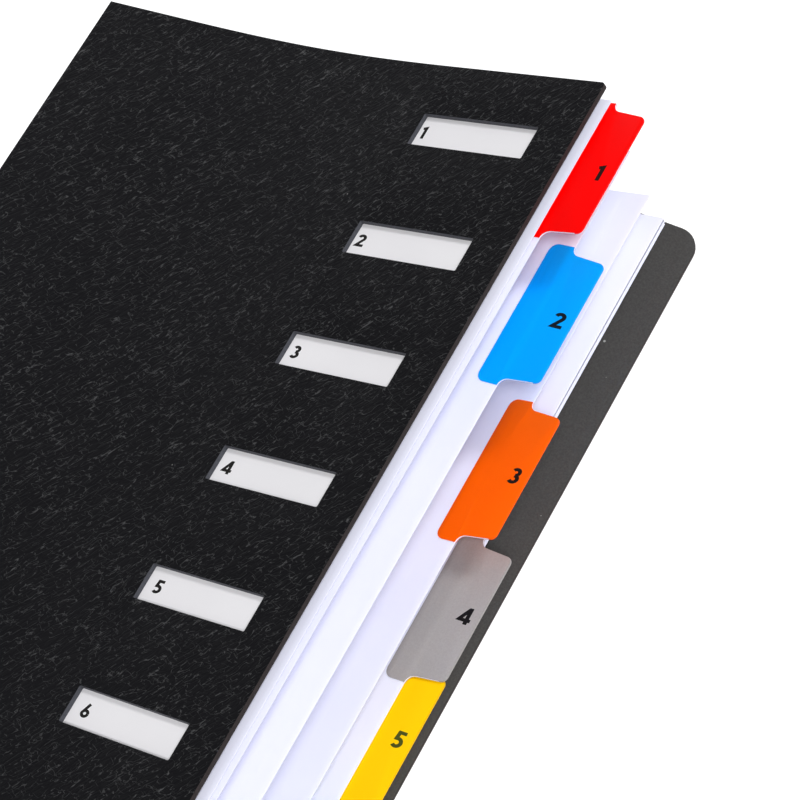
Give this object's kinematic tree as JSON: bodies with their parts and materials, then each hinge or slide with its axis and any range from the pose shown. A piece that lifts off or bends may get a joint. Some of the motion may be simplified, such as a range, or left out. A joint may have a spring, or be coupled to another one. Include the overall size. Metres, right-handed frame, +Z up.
{
  "type": "desk sorter",
  "caption": "Board-covered desk sorter for papers, fanned open: grained front cover with label windows, pleated spine and card dividers with coloured numbered tabs.",
  "frame": {"origin": "centre of the bounding box, on the surface that the back cover lies on", "axes": "+X from the spine to the fore-edge, +Y along the spine towards the first tab, +Z up out of the back cover"},
  "size_m": [0.2424, 0.324, 0.08],
  "materials": {
    "grained_board": "near-black embossed leather grain, satin",
    "matt_board": "matt dark grey board",
    "gusset_cloth": "black pleated book cloth",
    "index_card": "matt white card",
    "white_card": "smooth cool white card",
    "red_film": "red gloss film",
    "blue_film": "blue gloss film",
    "orange_film": "orange gloss film",
    "grey_film": "grey gloss film",
    "yellow_film": "yellow gloss film",
    "green_film": "green gloss film",
    "violet_film": "violet gloss film"
  },
  "bodies": {
    "back": {"back_cover": "matt_board"},
    "block": {"spine_board": "grained_board", "spine_gusset": "gusset_cloth", "front_sheet": "white_card", "divider_1": "white_card", "divider_2": "white_card", "divider_3": "white_card", "divider_4": "white_card", "divider_5": "white_card", "divider_6": "white_card", "divider_7": "white_card", "tab_front_1": "red_film", "tab_front_2": "blue_film", "tab_front_3": "orange_film", "tab_front_4": "grey_film", "tab_front_5": "yellow_film", "tab_front_6": "green_film", "tab_front_7": "violet_film", "tab_back_1": "red_film", "tab_back_2": "blue_film", "tab_back_3": "orange_film", "tab_back_4": "grey_film", "tab_back_5": "yellow_film", "tab_back_6": "green_film", "tab_back_7": "violet_film"},
    "front": {"front_cover": "grained_board", "index_sheet": "index_card"}
  },
  "joints": [
    {"name": "back_hinge", "type": "hinge", "parent": "back", "child": "block", "pos_m": [-0.1212, 0, 0], "axis": [0, 1, 0], "range_deg": [-90, 0]},
    {"name": "front_hinge", "type": "hinge", "parent": "block", "child": "front", "pos_m": [-0.1212, 0, 0.0178], "axis": [0, -1, 0], "range_deg": [0, 160]}
  ]
}
